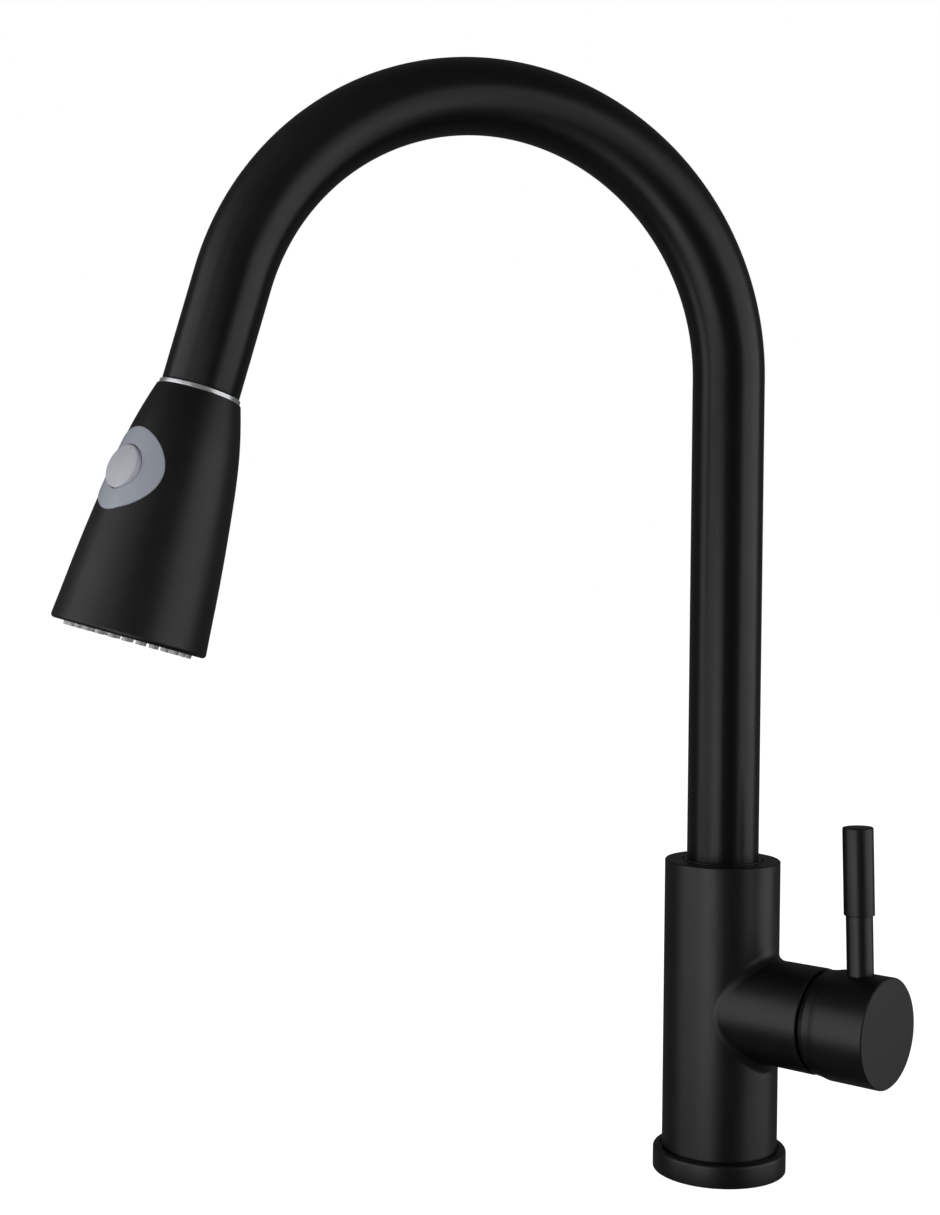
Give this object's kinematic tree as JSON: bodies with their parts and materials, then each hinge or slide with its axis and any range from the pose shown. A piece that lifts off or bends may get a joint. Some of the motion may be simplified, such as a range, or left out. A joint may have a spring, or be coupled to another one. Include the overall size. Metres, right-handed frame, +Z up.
{
  "type": "pull-down kitchen faucet",
  "caption": "Single-lever pull-down kitchen faucet with a round body, swivelling gooseneck spout, side lever and a bell-shaped two-mode spray head.",
  "frame": {"origin": "centre of the body's underside, on the deck's top face", "axes": "+Z up along the body and the spout's swivel axis; the spout points along -X; the lever's branch points 60 degrees round from +X towards -Y"},
  "size_m": [0.3128, 0.1006, 0.4998],
  "materials": {
    "matte_black_metal": "matte black powder coat over brass and steel",
    "matte_black_shell": "matte black coat over moulded ABS, matched to the metal",
    "black_plastic": "moulded black acetal",
    "polished_chrome": "polished chrome plate",
    "grey_plastic": "satin moulded grey ABS",
    "light_grey_plastic": "satin moulded light grey ABS",
    "turned_brass": "turned brass",
    "plated_steel": "zinc-plated or stainless steel",
    "black_rubber": "black rubber",
    "alumina_ceramic": "lapped alumina",
    "white_acetal": "white acetal",
    "grey_silicone": "pale grey silicone",
    "braided_hose": "nylon braid over a rubber hose"
  },
  "bodies": {
    "fixed_body": {"faucet_body": "matte_black_metal", "base_flange": "matte_black_metal", "base_gasket": "black_rubber", "threaded_shank": "turned_brass", "deck_rubber_washer": "black_rubber", "deck_steel_washer": "plated_steel", "mounting_nut": "plated_steel", "nut_clamp_screws": "plated_steel", "spout_set_screw": "matte_black_metal", "body_hose": "braided_hose", "hose_tail_fitting": "turned_brass", "cartridge_base": "white_acetal", "cartridge_port_seals": "black_rubber", "fixed_ceramic_disc": "alumina_ceramic", "cartridge_housing": "white_acetal", "cartridge_nut": "turned_brass", "bonnet_ring": "black_plastic"},
    "spout": {"spout_pipe": "matte_black_metal", "spout_sleeve": "turned_brass", "swivel_rings": "black_plastic", "swivel_o_rings": "black_rubber", "spout_top_ring": "black_plastic", "dock_insert": "black_plastic", "spout_hose": "braided_hose"},
    "hose_end": {"hose_end_ferrule": "plated_steel", "hose_end_nipple": "turned_brass"},
    "spray_head": {"hose_nut": "black_plastic", "hose_washer": "black_rubber", "head_trim_ring": "polished_chrome", "head_shell": "matte_black_shell", "head_inner_body": "white_acetal", "check_valve": "white_acetal", "diverter_seat": "black_rubber", "face_seal": "black_rubber", "nozzle_mat": "grey_silicone", "face_plate": "polished_chrome", "face_screws": "plated_steel", "aerator_housing": "white_acetal", "aerator_screen": "plated_steel", "button_bezel": "grey_plastic", "button_spring": "plated_steel"},
    "mode_button": {"mode_button": "light_grey_plastic", "mode_plunger": "white_acetal", "plunger_o_ring": "black_rubber"},
    "temperature_rotor": {"cartridge_rotor": "white_acetal", "stem_pin": "plated_steel"},
    "lever": {"cartridge_stem": "white_acetal", "handle_cap": "matte_black_metal", "handle_set_screw": "matte_black_metal", "lever_rod": "matte_black_metal", "lever_grip": "matte_black_metal"},
    "mixing_disc": {"disc_carrier": "white_acetal", "moving_ceramic_disc": "alumina_ceramic"}
  },
  "joints": [
    {"name": "spout_swivel", "type": "hinge", "parent": "fixed_body", "child": "spout", "pos_m": [0, 0, 0.1], "axis": [0, 0, 1], "continuous": true},
    {"name": "spray_pull_out", "type": "slide", "parent": "spout", "child": "hose_end", "axis": [-0.2756, 0, -0.9613], "range_m": [0, 0.2], "deforming": ["spout_hose"]},
    {"name": "spray_head_swivel", "type": "hinge", "parent": "hose_end", "child": "spray_head", "pos_m": [-0.20743, 0, 0.29795], "axis": [-0.2756, 0, -0.9613], "continuous": true},
    {"name": "mode_button_press", "type": "slide", "parent": "spray_head", "child": "mode_button", "axis": [0.8126, 0.45, -0.3703], "range_m": [0, 0.0025], "stiffness_N_per_m": 1000, "springref_m": -0.001, "deforming": ["button_spring"]},
    {"name": "handle_turn", "type": "hinge", "parent": "fixed_body", "child": "temperature_rotor", "pos_m": [0, 0, 0.0656], "axis": [0.5, -0.866, 0], "range_deg": [-45, 45]},
    {"name": "handle_tilt", "type": "hinge", "parent": "temperature_rotor", "child": "lever", "pos_m": [0.01775, -0.03074, 0.0656], "axis": [0.866, 0.5, 0], "range_deg": [0, 25]},
    {"name": "disc_slide", "type": "slide", "parent": "temperature_rotor", "child": "mixing_disc", "axis": [0, 0, 1], "range_m": [0, 0.0032]}
  ],
  "couplings": [
    {"joint": "disc_slide", "follows": "handle_tilt", "m_per_rad": 0.007}
  ]
}
